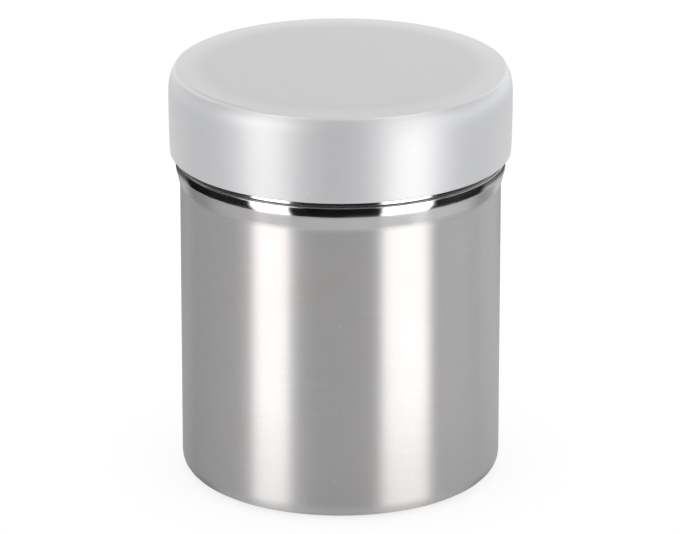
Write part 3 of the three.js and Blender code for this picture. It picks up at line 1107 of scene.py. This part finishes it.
    def plate(self, finish: bpy.types.Material) -> None:
        """Pierce the plate and dress it."""
        own = self.shaker
        values = {
            "Finish": finish,
            "Plate Radius": own.reach("sieve_plate") * MM,
            "Thickness": self.plate_thickness * MM,
            "Foot Height": own.foot("sieve_plate") * MM,
            "Dome Height": self.dome_height * MM,
            "Dome Radius": (own.collar_opening - own.seat_gap) * MM,
            "Hole Radius": self.hole_radius * MM,
            "Field Radius": (own.collar_opening - self.plate_margin - self.hole_radius) * MM,
            "Weld Distance": Lathe.WELD * MM,
            "Rim Facets": Lathe.FACETS // 2,
            "Hole Facets": self.hole_facets,
            "Rings": float(self.hole_rings),
            "Holes Per Ring": float(self.holes_per_ring),
        }
        base = bpy.data.objects.new("pierced_plate", bpy.data.meshes.new("pierced_plate"))
        bpy.context.scene.collection.objects.link(base)
        piece = finished(base, self.plate_recipe(), values, bevel=self.hole_edge)
        dress(piece, "sieve_top", "sieve_plate")

    def build(self, lathe: Lathe) -> None:
        """Build the three pieces of the sieve top."""
        self.collar(lathe)
        self.plate(SatinSieveFinish("pierced_steel").build())
        self.clamp_ring(lathe, SatinSieveFinish("clamp_steel", roughness=0.36).build())


@dataclass
class PressCap:
    """The moulded cap: domed top, rounded shoulder, bulged wall, snap bead and sealing rib."""

    shaker: Shaker
    wall: float = 1.1
    top_wall: float = 1.2
    belly: float = 0.24
    belly_height: float = 12.6
    shoulder_draw: float = 1.3
    shoulder_power: float = 3.0
    edge_rounding: float = 0.35
    inner_corner: float = 1.1
    crown_rise: float = 0.3
    crown_flat: float = 27.0
    crown_rows: int = 16
    lip_radius: float = 0.3
    # share of the lip's thickness left outside the inside's painted shade
    unshaded_lip_share: float = 0.75
    lead_in: float = 0.3
    bead_height: float = 1.8
    bead_lift: float = 0.9
    snap_clearance: float = 0.15
    rib_depth: float = 0.6
    rib_width: float = 1.0
    rib_taper: float = 0.15
    rib_rounding: float = 0.12
    side_rows: int = 44
    arc_rows: int = 14

    def __post_init__(self) -> None:
        """Work out the radii and heights that follow from the collar."""
        own = self.shaker
        self.foot = own.foot("snap_cap")
        self.crown = own.top("snap_cap")
        self.top = self.crown - self.crown_rise
        self.inner_top = self.top - self.top_wall
        self.belly_radius = own.reach("snap_cap")

    def side(self, height: float) -> float:
        """Outside radius at a height: widest at the belly, drawn in below it and, ever more, above it."""
        middle = self.foot + self.belly_height
        if height < middle:
            return self.belly_radius - self.belly * ((middle - height) / self.belly_height) ** 2
        share = (height - middle) / (self.top - middle)
        return self.belly_radius - self.shoulder_draw * share ** self.shoulder_power

    def face(self, start: float, end: float, wall: float) -> list[tuple[float, float]]:
        """Points up one face of the wall between two heights, both ends included."""
        heights = [start + (end - start) * row / self.side_rows for row in range(self.side_rows + 1)]
        return [(self.side(height) - wall, height) for height in heights]

    def crown_curve(self, edge: float) -> list[tuple[float, float]]:
        """Points from the edge up to the flat middle, ever less steep."""
        shares = [1 - row / self.crown_rows for row in range(self.crown_rows + 1)]
        width = edge - self.crown_flat
        return [(self.crown_flat + width * s, self.crown - self.crown_rise * s * s) for s in shares]

    def underside(self, line: Outline) -> None:
        """Add the hidden face, from the middle down to the foot."""
        own = self.shaker
        rib = (own.collar_opening + own.collar_radius - own.collar_corner_radius) / 2
        tip = self.rib_width / 2 - self.rib_taper
        rib_foot = self.inner_top - self.rib_depth
        line.go(0, self.inner_top)
        line.go(rib - self.rib_width / 2, self.inner_top, self.rib_rounding)
        line.go(rib - tip, rib_foot, self.rib_rounding)
        line.go(rib + tip, rib_foot, self.rib_rounding)
        line.go(rib + self.rib_width / 2, self.inner_top, self.rib_rounding)
        corner = self.inner_corner
        wall_top = self.inner_top - corner
        centre = (self.side(wall_top) - self.wall - corner, wall_top)
        line.follow(arc_points(centre, corner, corner, QUARTER_TURN, 0, self.arc_rows))
        bead_foot = self.foot + self.bead_lift
        bead_top = bead_foot + self.bead_height
        line.follow(list(reversed(self.face(bead_top, wall_top, self.wall)))[1:])
        middle = (bead_foot + bead_top) / 2
        base = self.side(middle) - self.wall
        reach = base - own.collar_radius - self.snap_clearance
        bead = arc_points((base, middle), reach, self.bead_height / 2,
                          QUARTER_TURN, 3 * QUARTER_TURN, self.arc_rows)
        line.follow(bead[1:])

    def outside(self, line: Outline) -> None:
        """Add the face that shows, from the foot up to the middle of the crown."""
        bore = self.side(self.foot) - self.wall
        lip = self.foot + self.lip_radius
        line.go(bore, self.foot + self.lead_in)
        line.go(bore + self.lead_in, self.foot)
        line.follow(arc_points((self.side(lip) - self.lip_radius, lip), self.lip_radius, self.lip_radius,
                               -QUARTER_TURN, 0, self.arc_rows // 2))
        line.follow(self.face(lip, self.top, 0)[1:-1])
        edge = self.side(self.top)
        line.go(edge, self.top, self.edge_rounding)
        line.follow(self.crown_curve(edge)[1:])
        line.go(0, self.crown)

    def build(self, lathe: Lathe) -> None:
        """Turn the cap and dress it."""
        line = Outline(Ends.ON_AXIS)
        self.underside(line)
        self.outside(line)
        finish = FrostedCapFinish(
            opening_radius=self.shaker.collar_opening, crown_height=self.top,
            edge_radius=self.side(self.top), inner_top=self.inner_top,
            inside_shade_radius=self.side(self.foot) - self.wall * self.unshaded_lip_share,
        )
        dress(lathe.turn("press_cap", line, finish.build()), "cap", "snap_cap")


@dataclass(frozen=True)
class Panel:
    """A patch of the light tent, in degrees: azimuth 0 is in front and grows to the right."""

    name: str
    azimuths: tuple[float, float]
    elevations: tuple[float, float]
    level: float
    blur: tuple[float, float]  # of the upright edges and of the level ones
    tint: Colour = (1.0, 1.0, 1.0)

    def colour(self) -> Colour:
        """The light that it gives off."""
        return tuple(self.level * share for share in self.tint)


WHITE = (1.0, 1.0, 1.0, 1.0)
WARM = (1.0, 0.985, 0.965)
COOL = (0.93, 0.965, 1.0)
LEFT_BOX = (-64.2, -36.6)
RIGHT_BOX = (29.6, 65.6)
ALL_ROUND = (-220.0, 220.0)

TENT_PANELS = (
    Panel("left side", (-220, -136), (-23, -16), 0.4, (5, 2.5)),
    Panel("right side", (120, 220), (-23, -16), 0.55, (6, 2.5)),
    Panel("left glow", (-118, -60), (-42, -30), 0.3, (6, 4)),
    Panel("middle glow", (4, 30), (-42, -30), 0.18, (6, 4)),
    Panel("right glow", (58, 130), (-42, -30), 0.62, (6, 4)),
    Panel("left wall", (-220, -77), (-4, 10), 0.4, (6, 6), COOL),
    Panel("right wall", (74, 220), (-4, 14), 1.0, (6, 6), COOL),
    Panel("back wall left", (-220, -146), (-2, 22), 0.68, (5, 4)),
    Panel("back wall right", (146, 220), (-2, 24), 0.66, (5, 4)),
    Panel("left window", (-148, -112), (26, 46), 1.0, (5, 5)),
    Panel("right window", (114, 160), (26, 46), 1.0, (6, 5)),
    Panel("ceiling", ALL_ROUND, (70, 95), 0.5, (1, 7)),
    Panel("table", ALL_ROUND, (-95, -41), 0.57, (1, 5)),
    Panel("left box", LEFT_BOX, (-31, -2), 2.65, (2.5, 5), WARM),
    Panel("left box top", LEFT_BOX, (-2, 60), 1.7, (2.5, 5), WARM),
    Panel("right box", RIGHT_BOX, (-31, -2), 2.85, (3, 5), WARM),
    Panel("right box top", RIGHT_BOX, (-2, 60), 1.4, (3, 5), WARM),
    Panel("left lamp", (-74, -28), (8, 20), 2.9, (6, 5), WARM),
    Panel("right lamp", (26, 70), (10, 20), 2.4, (6, 5), WARM),
)


@dataclass
class Studio:
    """Camera, pale floor, even light, and a tent that only shiny surfaces see."""

    elevation_degrees: float = 19.61
    distance: float = 1237.7
    aim_height: float = 45.9
    aim_right: float = -0.12
    pixels_per_mm: float = 4.557
    sensor: float = 36.0
    floor_size: float = 12000.0
    tent_radius: float = 1100.0
    dark_cloth: Colour = (0.004, 0.004, 0.006)
    paper: Colour = (0.9, 0.9, 0.9)  # the floor as the object is lit by it
    shaded_paper: Colour = (0.3, 0.3, 0.3)  # these two give what the camera sees of it
    paper_glow: float = 0.74

    def camera(self) -> None:
        """Place the camera at the photograph's viewing angle."""
        data = bpy.data.cameras.new("photo_camera")
        data.sensor_width = self.sensor
        data.lens = self.pixels_per_mm * self.distance * self.sensor / PHOTO_WIDTH_PX
        data.clip_start, data.clip_end = 0.05, 20.0
        eye = bpy.data.objects.new("photo_camera", data)
        rise = math.radians(self.elevation_degrees)
        eye.location = (
            self.aim_right * MM,
            -self.distance * math.cos(rise) * MM,
            (self.aim_height + self.distance * math.sin(rise)) * MM,
        )
        eye.rotation_euler = (QUARTER_TURN - rise, 0.0, 0.0)
        bpy.context.scene.collection.objects.link(eye)
        bpy.context.scene.camera = eye

    def background_rays(self, board: Board) -> Term:
        """1 for rays that should see the plain background: camera, glossy and transmission rays."""
        path = board.node("ShaderNodeLightPath")
        camera, glossy, through = (Term(board, path.outputs[n]) for n in
                                   ("Is Camera Ray", "Is Glossy Ray", "Is Transmission Ray"))
        return board.least(camera + glossy + through, 1.0)

    def world(self) -> None:
        """Light everything evenly from plain white, which also shows where nothing stands."""
        world = bpy.data.worlds.new("studio")
        world.use_nodes = True
        bpy.context.scene.world = world
        board = Board(world.node_tree)
        world.node_tree.nodes.clear()
        back = board.term("ShaderNodeBackground", None, {"Color": WHITE, "Strength": 1.0})
        leave = world.node_tree.nodes.new("ShaderNodeOutputWorld")
        board.plug(leave.inputs["Surface"], back)

    def floor(self) -> None:
        """Lay a pale floor that reads as white and keeps the shaker's soft shadow."""
        half = self.floor_size / 2 * MM
        mesh = bpy.data.meshes.new("floor")
        mesh.from_pydata([(-half, -half, 0), (half, -half, 0), (half, half, 0), (-half, half, 0)],
                         [], [(0, 1, 2, 3)])
        floor = bpy.data.objects.new("floor", mesh)
        bpy.context.scene.collection.objects.link(floor)
        board = SurfaceBoard("pale_floor")
        seen = self.background_rays(board)
        paper = board.term("ShaderNodeBsdfDiffuse", None, {"Color": whole(self.paper)})
        shaded = board.term("ShaderNodeBsdfDiffuse", None, {"Color": whole(self.shaded_paper)})
        glow = board.term("ShaderNodeEmission", None, {"Color": WHITE, "Strength": self.paper_glow})
        shown = board.term("ShaderNodeAddShader", None, {0: shaded, 1: glow})
        top = board.term("ShaderNodeMixShader", None, {0: seen, 1: paper, 2: shown})
        below = board.term("ShaderNodeNewGeometry", output="Backfacing")
        clear = board.term("ShaderNodeBsdfTransparent")
        both_sides = board.term("ShaderNodeMixShader", None, {0: below, 1: top, 2: clear})
        mesh.materials.append(board.surface(both_sides))
        self.show(floor, Seen.BY_ALL_BUT_SHINE)

    def show(self, thing: bpy.types.Object, seen: Seen) -> None:
        """Mark a thing as part of the studio and say which rays see it."""
        for rays in ("visible_camera", "visible_diffuse", "visible_glossy", "visible_shadow",
                     "visible_transmission"):
            setattr(thing, rays, rays in seen.value)

    def tent(self) -> None:
        """Hang the tent that shiny surfaces reflect: dark cloth with bright panels."""
        shape = bmesh.new()
        bmesh.ops.create_uvsphere(shape, u_segments=64, v_segments=32, radius=self.tent_radius * MM)
        mesh = bpy.data.meshes.new("light_tent")
        shape.to_mesh(mesh)
        shape.free()
        tent = bpy.data.objects.new("light_tent", mesh)
        bpy.context.scene.collection.objects.link(tent)
        mesh.materials.append(self.tent_cloth())
        self.show(tent, Seen.BY_SHINE)

    def tent_cloth(self) -> bpy.types.Material:
        """Make the tent's cloth, which glows by where it hangs.

        Returns:
            The material: azimuth is 0 in front and grows to the right, elevation is 0 at the table.
        """
        board = SurfaceBoard("tent_cloth")
        azimuth = board.maths("DEGREES", board.maths("ARCTAN2", board.x, 0 - board.y))
        elevation = board.maths("DEGREES", board.maths("ARCSINE", board.z / self.tent_radius))
        light: Any = self.dark_cloth
        for panel in TENT_PANELS:
            side, rise = panel.blur
            mask = self.band(board, azimuth, panel.azimuths, side)
            mask = mask * self.band(board, elevation, panel.elevations, rise)
            light = board.colour_mix(mask, light, panel.colour())
            light.socket.node.label = panel.name
        glow = board.term("ShaderNodeEmission", None, {"Color": light, "Strength": 1.0})
        cloth = board.surface(glow)
        cloth.cycles.emission_sampling = "NONE"
        return cloth

    def band(self, board: Board, angle: Term, limits: tuple[float, float], blur: float) -> Term:
        """1 between two angles, with soft edges.

        Args:
            board: the tree under construction.
            angle: the angle in degrees.
            limits: where the band begins and ends.
            blur: half the width of each soft edge.

        Returns:
            Values from 0 to 1.
        """
        low, high = limits
        return board.ramp(angle, low - blur, low + blur) * board.ramp(angle, high + blur, high - blur)

    def build(self) -> None:
        """Set up the whole studio."""
        view = bpy.context.scene.view_settings
        view.view_transform = "Standard"
        self.camera()
        self.world()
        self.floor()
        self.tent()


def main() -> None:
    """Build the shaker piece by piece, then the studio around it."""
    logging.basicConfig(level=logging.INFO, format="%(name)s: %(message)s")
    shaker = Shaker()
    lathe = Lathe()
    for part in (DrawnCan(shaker), MouthSeal(shaker), SieveTop(shaker), PressCap(shaker)):
        part.build(lathe)
    Studio().build()


if __name__ == "__main__":
    main()
